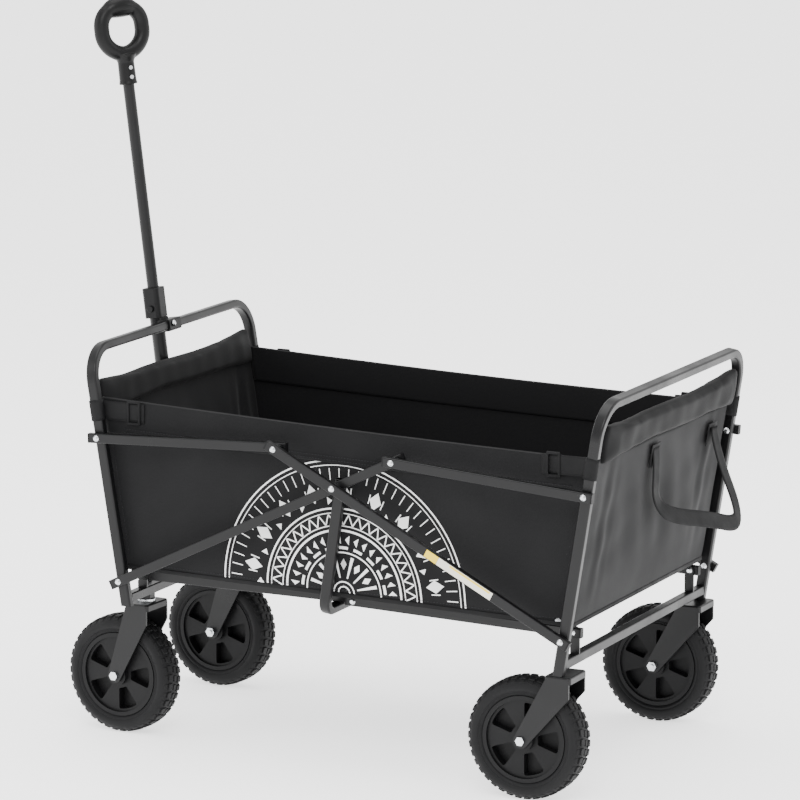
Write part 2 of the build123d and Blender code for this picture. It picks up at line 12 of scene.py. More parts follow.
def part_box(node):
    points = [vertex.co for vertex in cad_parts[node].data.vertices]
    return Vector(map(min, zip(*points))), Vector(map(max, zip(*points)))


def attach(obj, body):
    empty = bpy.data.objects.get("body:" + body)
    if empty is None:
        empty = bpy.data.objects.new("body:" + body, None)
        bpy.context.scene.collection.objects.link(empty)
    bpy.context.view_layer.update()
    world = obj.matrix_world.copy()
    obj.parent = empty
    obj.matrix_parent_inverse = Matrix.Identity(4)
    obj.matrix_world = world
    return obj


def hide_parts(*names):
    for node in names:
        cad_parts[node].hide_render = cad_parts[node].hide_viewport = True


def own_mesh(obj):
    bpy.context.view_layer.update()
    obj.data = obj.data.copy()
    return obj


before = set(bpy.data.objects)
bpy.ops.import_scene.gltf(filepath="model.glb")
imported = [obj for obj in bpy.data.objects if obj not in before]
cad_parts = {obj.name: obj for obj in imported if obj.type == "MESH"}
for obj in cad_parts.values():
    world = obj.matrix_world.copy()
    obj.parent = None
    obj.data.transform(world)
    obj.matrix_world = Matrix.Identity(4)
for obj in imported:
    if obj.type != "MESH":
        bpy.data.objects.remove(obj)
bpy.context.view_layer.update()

log = logging.getLogger("camp_wagon")

MM = 0.001
ORIGIN_X = -38.1          # the crossing of the side braces, from the middle of the wagon, in mm
PITCH = 0.021             # rise of the body for each mm forward
LEAN = 0.16               # how far a leg leans for each mm of height


class End(Enum):
    """The two ends of the wagon."""

    FRONT = 1
    REAR = -1


class Side(Enum):
    """The two sides of the wagon."""

    LEFT = 1
    RIGHT = -1


def at(x: float, y: float, z: float) -> Vector:
    """Turn millimetres measured from the brace crossing into metres in the wagon's frame.

    Args:
        x: Forward of the crossing.
        y: To the wagon's left.
        z: Above the floor.

    Returns:
        The point in metres.
    """
    return Vector(((x + ORIGIN_X) * MM, y * MM, z * MM))


def leg_x(end: End, z: float) -> float:
    """Give the centre of an end frame's leg, in mm from the brace crossing.

    Args:
        end: Which end frame.
        z: The height in mm.

    Returns:
        The leg's x at that height.
    """
    low_x, low_z = (354.4, 254.14) if end is End.FRONT else (-354.4, 239.26)
    return low_x + end.value * LEAN * (z - low_z)


# ---------------------------------------------------------------- finishes


def linear(hex_colour: str) -> tuple[float, float, float, float]:
    """Turn an sRGB hex colour into linear RGBA.

    Args:
        hex_colour: Six hex digits, such as "1a1b1c".

    Returns:
        The linear red, green, blue and an alpha of 1.
    """
    values = [int(hex_colour[i:i + 2], 16) / 255 for i in (0, 2, 4)]
    red, green, blue = (v / 12.92 if v <= 0.04045 else ((v + 0.055) / 1.055) ** 2.4 for v in values)
    return red, green, blue, 1.0


def add_node(tree: bpy.types.NodeTree, kind: str, settings: dict | None = None,
             links: dict | None = None) -> bpy.types.Node:
    """Add one shader node, set it up and link its inputs.

    Args:
        tree: The material's node tree.
        kind: The node's type name, such as "ShaderNodeTexNoise".
        settings: Attribute names or input names to their values.
        links: Input names or numbers to the output sockets that feed them.

    Returns:
        The new node.
    """
    node = tree.nodes.new(kind)
    for key, value in (settings or {}).items():
        if isinstance(key, str) and hasattr(node, key):
            setattr(node, key, value)
        else:
            node.inputs[key].default_value = value
    for key, socket in (links or {}).items():
        tree.links.new(socket, node.inputs[key])
    return node


@dataclass(frozen=True)
class Finish:
    """A real surface finish, as colours, gloss and a fine relief.

    The relief is noise of the stated grain, and the tone drifts between two close colours, so
    that no surface is one flat colour.
    """

    name: str
    dark: str
    light: str
    roughness: float
    grain_mm: float
    relief: float
    metallic: float = 0.0
    drift_mm: float = 60.0
    rough_spread: float = 0.08
    specular: float = 0.18

    def build(self) -> bpy.types.Material:
        """Make the material.

        Returns:
            The finished node material.
        """
        material = bpy.data.materials.new(self.name)
        material.use_nodes = True
        tree = material.node_tree
        tree.nodes.clear()
        place = add_node(tree, "ShaderNodeTexCoord")
        drift = add_node(tree, "ShaderNodeTexNoise", {"Scale": 1000 / self.drift_mm, "Detail": 3.0},
                         {"Vector": place.outputs["Object"]})
        colour = self.colour(tree, drift)
        rough = add_node(tree, "ShaderNodeMapRange", {
            "From Min": 0.3, "From Max": 0.7, "To Min": self.roughness - self.rough_spread,
            "To Max": self.roughness + self.rough_spread}, {"Value": drift.outputs["Fac"]})
        bump = add_node(tree, "ShaderNodeBump", {"Strength": self.relief, "Distance": 0.0004},
                        {"Height": self.height(tree, place)})
        shader = add_node(tree, "ShaderNodeBsdfPrincipled", {
            "Metallic": self.metallic, "Specular IOR Level": 0.5 if self.metallic else self.specular}, {
            "Base Color": colour, "Roughness": rough.outputs["Result"], "Normal": bump.outputs["Normal"]})
        self.extra(shader)
        add_node(tree, "ShaderNodeOutputMaterial", {}, {"Surface": shader.outputs["BSDF"]})
        return material

    def colour(self, tree: bpy.types.NodeTree, drift: bpy.types.Node) -> bpy.types.NodeSocket:
        """Mix the two tones by the slow drift.

        Args:
            tree: The material's node tree.
            drift: The noise that wanders between the tones.

        Returns:
            The colour socket.
        """
        mix = add_node(tree, "ShaderNodeMix", {"data_type": "RGBA", 6: linear(self.dark), 7: linear(self.light)},
                       {0: drift.outputs["Fac"]})
        return mix.outputs[2]

    def height(self, tree: bpy.types.NodeTree, place: bpy.types.Node) -> bpy.types.NodeSocket:
        """Make the fine relief.

        Args:
            tree: The material's node tree.
            place: The texture coordinates.

        Returns:
            The socket that drives the bump.
        """
        grain = add_node(tree, "ShaderNodeTexNoise", {"Scale": 1000 / self.grain_mm, "Detail": 2.0},
                         {"Vector": place.outputs["Object"]})
        return grain.outputs["Fac"]

    def extra(self, shader: bpy.types.Node) -> None:
        """Set any socket that only this finish uses.

        Args:
            shader: The Principled shader.
        """


def wave_scale(period_mm: float) -> float:
    """Give the Wave Texture scale for bands about a period apart.

    Args:
        period_mm: Distance from one band to the next.

    Returns:
        The node's Scale.
    """
    return 1000 / (3.14 * period_mm)


@dataclass(frozen=True)
class Woven(Finish):
    """A plain-woven coated cloth: crossing threads and a soft sheen.

    The threads are drawn about four times as coarse as the real 0.5 mm, so that they show.
    """

    thread_mm: float = 2.0

    def height(self, tree: bpy.types.NodeTree, place: bpy.types.Node) -> bpy.types.NodeSocket:
        """Give the product of two crossing sets of threads.

        Args:
            tree: The material's node tree.
            place: The texture coordinates.

        Returns:
            The socket that drives the bump.
        """
        weft, warp = (add_node(tree, "ShaderNodeTexWave", {
            "bands_direction": axis, "Scale": wave_scale(self.thread_mm), "Distortion": 0.4, "Detail": 1.0},
            {"Vector": place.outputs["Object"]}) for axis in ("Z", "DIAGONAL"))
        weave = add_node(tree, "ShaderNodeMath", {"operation": "MULTIPLY"},
                         {0: weft.outputs["Fac"], 1: warp.outputs["Fac"]})
        return weave.outputs["Value"]

    def extra(self, shader: bpy.types.Node) -> None:
        """Give the cloth its sheen.

        Args:
            shader: The Principled shader.
        """
        shader.inputs["Sheen Weight"].default_value = 0.04
        shader.inputs["Sheen Roughness"].default_value = 0.5


@dataclass(frozen=True)
class Ribbed(Finish):
    """Polypropylene webbing: close ribs across a flat strap."""

    rib_mm: float = 1.8

    def height(self, tree: bpy.types.NodeTree, place: bpy.types.Node) -> bpy.types.NodeSocket:
        """Give the ribs' wave.

        Args:
            tree: The material's node tree.
            place: The texture coordinates.

        Returns:
            The socket that drives the bump.
        """
        ribs = add_node(tree, "ShaderNodeTexWave", {
            "bands_direction": "Z", "Scale": wave_scale(self.rib_mm), "Distortion": 0.2},
            {"Vector": place.outputs["Object"]})
        return ribs.outputs["Fac"]


# Powder coat on steel tube: satin black with a fine orange-peel skin.
POWDER_COAT = Finish("powder_coat_satin_black", "0a0a0b", "101011", 0.34, 1.6, 0.10, specular=0.26)
# Bright zinc plate on rivets and bolts: pale metal, slightly clouded.
ZINC_PLATE = Finish("zinc_plate_bright", "c4c7ca", "e0e2e4", 0.24, 0.6, 0.08, metallic=1.0, drift_mm=5)
# Moulded polypropylene on hubs and plugs: black with a spark-eroded grain.
POLYPROPYLENE = Finish("polypropylene_moulded_black", "0a0a0b", "0f0f10", 0.48, 0.9, 0.18)
# Moulded ABS on the handle collar and clip: smoother and a little glossier.
ABS = Finish("abs_moulded_black", "0a0a0b", "101011", 0.38, 0.7, 0.10)
# Soft-touch rubber over the hand grip: dull broad highlights.
GRIP_RUBBER = Finish("thermoplastic_rubber_black", "090909", "0e0e0f", 0.40, 0.8, 0.12)
# Foamed PVC tyre: matte with a dusty bloom on its blocks.
TYRE_FOAM = Finish("foamed_pvc_tyre_black", "0c0c0d", "141415", 0.62, 1.1, 0.30, drift_mm=25)
# Coated polyester weave of the tub: nearly black, faint sheen.
POLYESTER = Woven("polyester_600d_woven_black", "08080a", "0d0d0e", 0.72, 1.0, 0.22, drift_mm=120)
# The same cloth over foam on the end sleeves and mat, a touch duller.
PADDED_CLOTH = Woven("polyester_padded_black", "060607", "0b0b0c", 0.80, 1.0, 0.25, drift_mm=90)
# Polypropylene webbing of the straps and the pull loop.
WEBBING = Ribbed("webbing_polypropylene_black", "0b0b0c", "111112", 0.66, 1.0, 0.35, drift_mm=30)
# White screen-print ink on the tub: matte, a little thin in places.
PRINT_INK = Finish("screen_print_white", "dfe0e0", "f2f2f1", 0.62, 0.7, 0.12, drift_mm=30)
# Bonded polyester thread of the seams.
THREAD = Finish("polyester_thread_black", "1d1d1f", "29292b", 0.60, 0.5, 0.10, drift_mm=10)
# Blank vinyl label, cream with a pale yellow band.
LABEL_CREAM = Finish("vinyl_label_cream", "d9d6c8", "e6e3d6", 0.42, 2.0, 0.03)
LABEL_YELLOW = Finish("vinyl_label_yellow", "e6c62c", "f0d345", 0.42, 2.0, 0.03)
# Painted studio floor, nearly white.
STUDIO_FLOOR = Finish("studio_floor_white", "fafafa", "fdfdfd", 0.85, 4.0, 0.02, drift_mm=900)


# ---------------------------------------------------------------- mesh helpers


def finish_object(name: str, mesh: bmesh.types.BMesh, finish: bpy.types.Material,
                  smooth: bool = True) -> bpy.types.Object:
    """Close a bmesh into a linked object with its place in its mesh.

    Args:
        name: The piece's name.
        mesh: The finished bmesh, which is freed.
        finish: The material for the whole piece.
        smooth: Whether its faces are shaded smooth, with sharp edges past 40 degrees.

    Returns:
        The new object.
    """
    bmesh.ops.remove_doubles(mesh, verts=mesh.verts, dist=0.001 * MM)
    bmesh.ops.recalc_face_normals(mesh, faces=mesh.faces)
    data = bpy.data.meshes.new(name)
    mesh.to_mesh(data)
    mesh.free()
    data.materials.append(finish)
    for polygon in data.polygons:
        polygon.use_smooth = smooth
    if smooth:
        data.set_sharp_from_angle(angle=radians(40))
    piece = bpy.data.objects.new(name, data)
    bpy.context.scene.collection.objects.link(piece)
    return piece


def add_grid(mesh: bmesh.types.BMesh, columns: int, rows: int,
             place: Callable[[float, float], Vector]) -> None:
    """Add a grid and move its points by a function of their place on it.

    Args:
        mesh: The bmesh to add to.
        columns: Number of spans along u.
        rows: Number of spans along v.
        place: Gives a point from u and v, each from 0 to 1.
    """
    made = bmesh.ops.create_grid(mesh, x_segments=columns, y_segments=rows, size=0.5)
    for vert in made["verts"]:
        vert.co = place(vert.co.x + 0.5, vert.co.y + 0.5)


def add_modifier(piece: bpy.types.Object, kind: str, **settings: object) -> None:
    """Add a modifier to a piece and set it up.

    Args:
        piece: The piece.
        kind: The modifier's type name.
        settings: Its settings by name.
    """
    modifier = piece.modifiers.new(kind.title(), kind)
    for key, value in settings.items():
        setattr(modifier, key, value)


def apply_modifiers(piece: bpy.types.Object) -> None:
    """Replace a piece's mesh by what its modifiers make of it.

    Args:
        piece: The piece.
    """
    graph = bpy.context.evaluated_depsgraph_get()
    graph.update()
    data = bpy.data.meshes.new_from_object(piece.evaluated_get(graph))
    piece.modifiers.clear()
    piece.data = data


def add_block(mesh: bmesh.types.BMesh, size: Sequence[float], place: Matrix, bevel: float = 0.0,
              steps: int = 2) -> None:
    """Add a box with bevelled edges.

    Args:
        mesh: The bmesh to add to.
        size: Its three sides.
        place: Where it goes.
        bevel: Width of the bevel, or 0 for none.
        steps: Segments of the bevel.
    """
    verts = bmesh.ops.create_cube(mesh, size=1.0)["verts"]
    bmesh.ops.scale(mesh, vec=size, verts=verts)
    bmesh.ops.transform(mesh, matrix=place, verts=verts)
    if bevel:
        edges = list({edge for vert in verts for edge in vert.link_edges})
        bmesh.ops.bevel(mesh, geom=edges, offset=bevel, offset_type="OFFSET", segments=steps, profile=0.5,
                        affect="EDGES", material=-1)


def add_ribbon(mesh: bmesh.types.BMesh, path: Sequence[Vector], widths: Sequence[Vector]) -> None:
    """Add a flat strap along a path.

    Args:
        mesh: The bmesh to add to.
        path: The strap's centreline.
        widths: At each point of the path, the vector from its middle to its edge.
    """
    last = len(path) - 1

    def place(u: float, v: float) -> Vector:
        """Give the strap's point at u along it and v across it.

        Args:
            u: From 0 to 1 along the strap.
            v: From 0 to 1 across it.

        Returns:
            The point.
        """
        number = min(int(round(u * last)), last)
        return path[number] + widths[number] * (2 * v - 1)

    add_grid(mesh, last, 6, place)


def smooth_path(corners: Sequence[Vector], count: int) -> list[Vector]:
    """Round a path of a few corners by cutting each one three times.

    Args:
        corners: The path's corners.
        count: Number of points wanted.

    Returns:
        Evenly spaced points along the rounded path.
    """
    path = list(corners)
    for _ in range(3):
        cut = [path[0]]
        for first, second in zip(path, path[1:]):
            cut += [first.lerp(second, 0.25), first.lerp(second, 0.75)]
        path = cut + [path[-1]]
    lengths = [0.0]
    for first, second in zip(path, path[1:]):
        lengths.append(lengths[-1] + (second - first).length)
    result, number = [], 0
    for step in range(count):
        target = lengths[-1] * step / (count - 1)
        while number < len(path) - 2 and lengths[number + 1] < target:
            number += 1
        run = lengths[number + 1] - lengths[number]
        result.append(path[number].lerp(path[number + 1], (target - lengths[number]) / run if run else 0))
    return result


def add_stitches(mesh: bmesh.types.BMesh, path: Sequence[Vector], out: Vector, pitch: float = 4.5 * MM) -> None:
    """Add a row of short raised stitches along a path.

    Args:
        mesh: The bmesh to add to.
        path: Two or more points on the cloth.
        out: Direction away from the cloth.
        pitch: Distance from one stitch to the next.
    """
    for first, second in zip(path, path[1:]):
        run = second - first
        count = max(1, int(run.length / pitch))
        along = run.normalized()
        across = along.cross(out).normalized()
        turn = Matrix((along, across, across.cross(along))).transposed().to_4x4()
        for number in range(count):
            spot = first + run * ((number + 0.5) / count)
            add_block(mesh, (pitch * 0.62, 0.7 * MM, 0.5 * MM), Matrix.Translation(spot) @ turn)


def inflate(piece: bpy.types.Object, pressure: float, cap: float, voxel: float) -> None:
    """Puff up a closed piece by a short cloth simulation, and keep the result as its mesh.

    Args:
        piece: The slightly small closed piece.
        pressure: The pressure inside it.
        cap: The furthest that a point may move.
        voxel: Edge length of the even mesh that is simulated.
    """
    add_modifier(piece, "REMESH", mode="VOXEL", voxel_size=voxel)
    apply_modifiers(piece)
    rest = [vert.co.copy() for vert in piece.data.vertices]
    cloth = piece.modifiers.new("Cloth", "CLOTH")
    cloth.settings.use_pressure = True
    cloth.settings.uniform_pressure_force = pressure
    cloth.settings.effector_weights.gravity = 0
    cloth.settings.quality = 5
    scene = bpy.context.scene
    for number in range(1, 21):
        scene.frame_set(number)
    apply_modifiers(piece)
    scene.frame_set(1)
    for vert, start in zip(piece.data.vertices, rest):
        move = vert.co - start
        if move.length > cap:
            vert.co = start + move.normalized() * cap


# ---------------------------------------------------------------- the wagon's sub-assemblies


@dataclass
class Paint:
    """The built materials, one for each finish."""

    powder: bpy.types.Material = field(default_factory=POWDER_COAT.build)
    zinc: bpy.types.Material = field(default_factory=ZINC_PLATE.build)
    plastic: bpy.types.Material = field(default_factory=POLYPROPYLENE.build)
    abs: bpy.types.Material = field(default_factory=ABS.build)
    grip: bpy.types.Material = field(default_factory=GRIP_RUBBER.build)
    tyre: bpy.types.Material = field(default_factory=TYRE_FOAM.build)
    cloth: bpy.types.Material = field(default_factory=POLYESTER.build)
    padded: bpy.types.Material = field(default_factory=PADDED_CLOTH.build)
    webbing: bpy.types.Material = field(default_factory=WEBBING.build)
    ink: bpy.types.Material = field(default_factory=PRINT_INK.build)
    thread: bpy.types.Material = field(default_factory=THREAD.build)
    cream: bpy.types.Material = field(default_factory=LABEL_CREAM.build)
    yellow: bpy.types.Material = field(default_factory=LABEL_YELLOW.build)


@dataclass
class Frame:
    """The steel frame and every fastener: CAD nodes that only need their finish."""

    paint: Paint
    plastic_words: tuple[str, ...] = ("plugs", "rim_", "guide_bush")
    abs_words: tuple[str, ...] = ("lock_collar", "lock_button", "handle_clip")
    zinc_words: tuple[str, ...] = ("rivets", "bolts", "caster_axle", "king_pins", "pivot_pin", "bearings")

    def dress(self) -> None:
        """Give every CAD node the finish of what it is."""
        for name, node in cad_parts.items():
            material = self.paint.powder
            for words, choice in ((self.plastic_words, self.paint.plastic), (self.abs_words, self.paint.abs),
                                  (self.zinc_words, self.paint.zinc)):
                if any(word in name for word in words):
                    material = choice
            for number in range(max(1, len(node.material_slots))):
                if node.material_slots:
                    node.material_slots[number].material = material
                else:
                    node.data.materials.append(material)
            log.info("dressed %s as %s", name, material.name)

    def build(self) -> None:
        """Add the clip's rivet on the front push bar and the blank label on a brace."""
        mesh = bmesh.new()
        made = bmesh.ops.create_uvsphere(mesh, u_segments=24, v_segments=12, radius=4.6 * MM)
        bmesh.ops.scale(mesh, vec=(1, 1, 0.5), verts=made["verts"])
        spot = Matrix.Translation(at(396.6, 7, 594.5)) @ Matrix.Rotation(atan(LEAN) - pi / 2, 4, "Y")
        bmesh.ops.transform(mesh, matrix=spot, verts=mesh.verts)
        stud = finish_object("clip_rivet", mesh, self.paint.zinc)
        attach(stud, "front_frame")
        log.info("built %s", stud.name)
        self.label()

    def label(self) -> None:
        """Lay a blank two-tone label on the outer face of the left outer brace."""
        low, high = Vector((-354.4, 0, 239.26)), Vector((93.0, 0, 475.65))
        along = (high - low).normalized()
        up = Vector((-along.z, 0, along.x))
        for name, material, start, length, tall, shift in (
                ("label_cream", self.paint.cream, -250.0, 94.0, 11.4, 0.0),
                ("label_stripe", self.paint.yellow, -246.0, 70.0, 2.6, 3.6),
                ("label_yellow", self.paint.yellow, -166.5, 21.0, 11.4, 0.0)):
            middle = low + along * ((start - low.x) / along.x + length / 2) + up * shift
            turn = Matrix((along, up, along.cross(up))).transposed().to_4x4()
            mesh = bmesh.new()
            proud = 283.92 if shift else 283.72
            place = Matrix.Translation(at(middle.x, proud, middle.z)) @ turn
            add_block(mesh, (length * MM, tall * MM, 0.35 * MM), place, 0.1 * MM, 1)
            patch = finish_object(name, mesh, material)
            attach(patch, "outer_brace")
            log.info("built %s", patch.name)


@dataclass
class Wheel:
    """A tyre with its tread, built about its own axle and set on one of the four wheels."""

    paint: Paint
    radius: float = 88.8
    base_radius: float = 87.0
    half_width: float = 23.5
    bead_radius: float = 63.0
    blocks: int = 40
    steps: int = 96

    def profile(self) -> list[tuple[float, float]]:
        """Give the tyre's half section as (radius, width) points from bead to crown.

        Returns:
            The points, in mm.
        """
        wide = self.half_width
        return [(self.bead_radius, wide - 4.5), (self.bead_radius + 1.5, wide - 2.6), (66.5, wide - 1.0),
                (68.0, wide - 1.9), (69.4, wide - 1.9), (70.8, wide - 0.5), (74.5, wide), (78.5, wide - 0.9),
                (82.2, wide - 3.2), (84.8, wide - 7.0), (self.base_radius - 0.6, wide - 11.0),
                (self.base_radius, wide - 15.0), (self.base_radius, 0.0)]

    def build(self, place: str, axle: Matrix) -> None:
        """Make one tyre, riding on its wheel.

        Args:
            place: The wheel's name ending, such as "front_left".
            axle: Where the axle's middle goes, with its Z along the axle.
        """
        mesh = bmesh.new()
        half = self.profile()
        whole = half + [(r, -w) for r, w in reversed(half[:-1])]
        outline = bmesh.ops.create_circle(mesh, segments=len(whole), radius=1.0)["verts"]
        for vert, (radius, width) in zip(outline, whole):
            vert.co = (radius * MM, 0, width * MM)
        bmesh.ops.spin(mesh, geom=mesh.verts[:] + mesh.edges[:], cent=(0, 0, 0), axis=(0, 0, 1), angle=2 * pi,
                       steps=self.steps, use_merge=True, dvec=(0, 0, 0))
        self.tread(mesh)
        bmesh.ops.transform(mesh, matrix=axle, verts=mesh.verts)
        tyre = finish_object(f"tread_tyre_{place}", mesh, self.paint.tyre)
        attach(tyre, f"wheel_{place}")
        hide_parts(f"tyre_{place}")
        log.info("built %s", tyre.name)

    def tread(self, mesh: bmesh.types.BMesh) -> None:
        """Add two staggered rows of low shoulder blocks and the middle rib's blocks.

        Args:
            mesh: The tyre's bmesh, its axle along Z.
        """
        step = 2 * pi / self.blocks
        for number in range(self.blocks):
            for row in (1, -1):
                turn = Matrix.Rotation(step * (number + 0.25 * row), 4, "Z")
                crown = Matrix.Translation((86.6 * MM, 0, row * 10.6 * MM)) @ Matrix.Rotation(
                    row * radians(-6), 4, "Y")
                add_block(mesh, (3.6 * MM, 9.6 * MM, 9.4 * MM), turn @ crown, 0.7 * MM, 1)
                slope = Matrix.Translation((83.1 * MM, 0, row * 17.9 * MM)) @ Matrix.Rotation(
                    row * radians(-38), 4, "Y")
                add_block(mesh, (2.6 * MM, 8.2 * MM, 5.6 * MM), turn @ slope, 0.7 * MM, 1)
            turn = Matrix.Rotation(step * number, 4, "Z")
            rib = turn @ Matrix.Translation((86.9 * MM, 0, 0))
            add_block(mesh, (3.4 * MM, 8.6 * MM, 7.0 * MM), rib, 0.6 * MM, 1)


@dataclass
class Tub:
    """The open fabric tub: walls, floor, hems, print, seams, mat, sleeves, straps and pull loop."""

    paint: Paint
    front_half: float = 236.4
    rear_half: float = 243.4
    low: float = 261.6
    top: float = 507.0
    top_rise: float = 0.0325
    hem: float = 50.0
    cloth: float = 1.2
    columns: int = 120
    rows: int = 40
    end_columns: int = 144
    panels: int = 4
    squashed: list[bpy.types.Object] = field(default_factory=list)

    def half_width(self, x: float) -> float:
        """Give the tub's half width at x.

        Args:
            x: Forward of the brace crossing, in mm.

        Returns:
            The half width in mm.
        """
        share = (x + 420) / 840
        return self.rear_half + (self.front_half - self.rear_half) * share

    def low_z(self, x: float) -> float:
        """Give the height of the tub's bottom edge at x.

        Args:
            x: Forward of the brace crossing, in mm.

        Returns:
            The height in mm.
        """
        return self.low + PITCH * x

    def top_z(self, x: float) -> float:
        """Give the height of the tub's upper edge at x, which dips slightly between its ends.

        Args:
            x: Forward of the brace crossing, in mm.

        Returns:
            The height in mm.
        """
        share = (x + 390) / 780
        return self.top + self.top_rise * x - 3.0 * sin(pi * min(max(share, 0), 1))

    def side_y(self, x: float, z: float) -> float:
        """Give the half width of the cloth at x and z, with its sag and soft wrinkles.

        Args:
            x: Forward of the brace crossing, in mm.
            z: Above the floor, in mm.

        Returns:
            The half width in mm.
        """
        share = min(max((x + 385) / 775, 0.0), 1.0)
        rise = min(max((z - self.low) / (self.top - self.low), 0.0), 1.0)
        pull = sin(pi * share)
        y = self.half_width(x) - 2.4 * pull * rise + 1.2 * pull * sin(pi * rise)
        near_end = (1 - pull) ** 2
        y += 0.9 * near_end * sin(z / 13 + x / 37) * sin(pi * rise)
        y += 0.5 * sin(x / 61 + z / 47) * pull * (1 - rise)
        return y - (2.0 * max(0.0, 1 - 12 * rise)) ** 2 * 0.5

    def end_x(self, end: End, y: float, z: float) -> float:
        """Give x of an end wall at y and z, bulging a little and creased towards its corners.

        Args:
            end: Which end wall.
            y: To the wagon's left, in mm.
            z: Above the floor, in mm.

        Returns:
            The x in mm.
        """
        share = min(max(y / 236 * 0.5 + 0.5, 0.0), 1.0)
        pull = sin(pi * share)
        rise = min(max((z - self.low) / (self.top - self.low), 0.0), 1.0)
        bulge = (3.0 if end is End.REAR else 2.0) * pull * sin(pi * rise)
        crease = 1.3 * (1 - pull) * sin(z / 11 + y / 29) * sin(pi * rise)
        crease += 1.8 * sin(y / 27 - z / 52) * pull * sin(pi * rise)
        crease += 1.1 * sin(y / 11 - z / 33) * pull * sin(pi * rise) ** 2
        drape = max(0.0, 1 - abs(abs(y) - 196) / 46)
        depth = 4.2 if end is End.FRONT else 1.6
        crease += depth * drape * sin(y / 6.5 + z / 90) * min(1.0, 3 * rise) * min(1.0, 4 * (1 - rise))
        return leg_x(end, z) + end.value * (bulge + crease)

    def wall_point(self, side: Side, u: float, v: float, offset: float = 0.0) -> Vector:
        """Give a point on a side wall: u from rear to front, v from bottom to top.

        Args:
            side: Which wall.
            u: From 0 at the rear to 1 at the front.
            v: From 0 at the bottom to 1 at the top.
            offset: How far outside the cloth, in mm.

        Returns:
            The point.
        """
        rear_low, front_low = leg_x(End.REAR, 255), leg_x(End.FRONT, 268)
        rear_top, front_top = leg_x(End.REAR, 495), leg_x(End.FRONT, 518)
        x = (1 - v) * (rear_low + (front_low - rear_low) * u) + v * (rear_top + (front_top - rear_top) * u)
        z = self.low_z(x) + (self.top_z(x) - self.low_z(x)) * v
        return at(x, side.value * (self.side_y(x, z) + offset), z)

    def keep(self, piece: bpy.types.Object, slot: str = "fabric") -> bpy.types.Object:
        """Let a piece ride on the rear frame and list it among the pieces to settle.

        Args:
            piece: The piece.
            slot: Not used.

        Returns:
            The same piece.
        """
        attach(piece, "rear_frame")
        self.squashed.append(piece)
        log.info("built %s", piece.name)
        return piece

    def settle(self) -> None:
        """Give every kept piece its own copy of its mesh, once all of them are final."""
        for piece in self.squashed:
            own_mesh(piece)

    def walls(self) -> None:
        """Make the tub's four walls and its floor as one sheet of cloth."""
        mesh = bmesh.new()
        for side in Side:
            add_grid(mesh, self.columns, self.rows, lambda u, v, s=side: self.wall_point(s, u, v))
        for end in End:
            u_end = 1.0 if end is End.FRONT else 0.0

            def wall(u: float, v: float, e: End = end, ue: float = u_end) -> Vector:
                """Give a point on an end wall, its edges shared with the side walls."""
                left, right = self.wall_point(Side.LEFT, ue, v), self.wall_point(Side.RIGHT, ue, v)
                point = right.lerp(left, u)
                if 0 < u < 1 and 0 < v < 1:
                    z = point.z / MM
                    point.x += (self.end_x(e, point.y / MM, z) - leg_x(e, z)) * MM * min(1, 8 * u, 8 * (1 - u))
                return point

            add_grid(mesh, self.end_columns, self.rows, wall)

        def base(u: float, v: float) -> Vector:
            """Give a point on the floor, which sags a little between the rails."""
            point = self.wall_point(Side.RIGHT, u, 0).lerp(self.wall_point(Side.LEFT, u, 0), v)
            point.z -= 0.5 * MM * sin(pi * u) * sin(pi * v)
            return point

        add_grid(mesh, self.columns, self.end_columns, base)
        bmesh.ops.remove_doubles(mesh, verts=mesh.verts, dist=0.0002)
        area = sum(face.calc_area() for face in mesh.faces)
        tub = finish_object("fabric_tub", mesh, self.paint.cloth)
        add_modifier(tub, "SOLIDIFY", thickness=self.cloth * MM, offset=-1.0)
        apply_modifiers(tub)
        self.keep(tub)
        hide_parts("bag")

    def hems(self) -> None:
        """Fold a wide hem over the top of each side wall, with two rows of stitches."""
        for side in Side:
            mesh = bmesh.new()

            def fold(u: float, v: float, s: Side = side) -> Vector:
                """Give a point on the hem: v runs down outside, over the top and down inside."""
                u = 0.004 + 0.992 * u
                drop = abs(v - 0.5) * 2
                edge = self.wall_point(s, u, 1.0)
                turn = max(0.0, 1 - drop * self.hem / 3.0)
                down = drop * self.hem / (self.top - self.low)
                point = self.wall_point(s, u, 1.0 - down, 0.0)
                thick = 2.3 * cos(0.5 * pi * turn)
                swell = 0.8 * sin(pi * min(drop * 1.02, 1.0)) ** 0.5
                out = (thick + swell) if v < 0.5 else -(thick + swell + self.cloth)
                point.y += s.value * out * MM
                if turn > 0:
                    point.z = edge.z + 1.6 * MM * sin(0.5 * pi * turn)
                return point

            add_grid(mesh, self.columns, 40, fold)
            hem = finish_object(f"hem_{side.name.lower()}", mesh, self.paint.cloth)
            add_modifier(hem, "SOLIDIFY", thickness=0.8 * MM, offset=-1.0)
            apply_modifiers(hem)
            self.keep(hem)

    def seams(self) -> None:
        """Stitch the hems, the bottom edges and the corners."""
        mesh = bmesh.new()
        drop = (self.hem - 4) / (self.top - self.low)
        for side in Side:
            out = Vector((0, side.value, 0))
            for height, gap in ((1 - drop, 3.4), (1 - drop + 0.022, 3.7), (0.035, 0.3)):
                path = [self.wall_point(side, u / 24, height, gap) for u in range(1, 24)]
                add_stitches(mesh, path, out)
            for u in (0.012, 0.988):
                path = [self.wall_point(side, u, v / 12, 0.3) for v in range(1, 10)]
                add_stitches(mesh, path, out)
        self.keep(finish_object("seam_stitches", mesh, self.paint.thread, smooth=False))

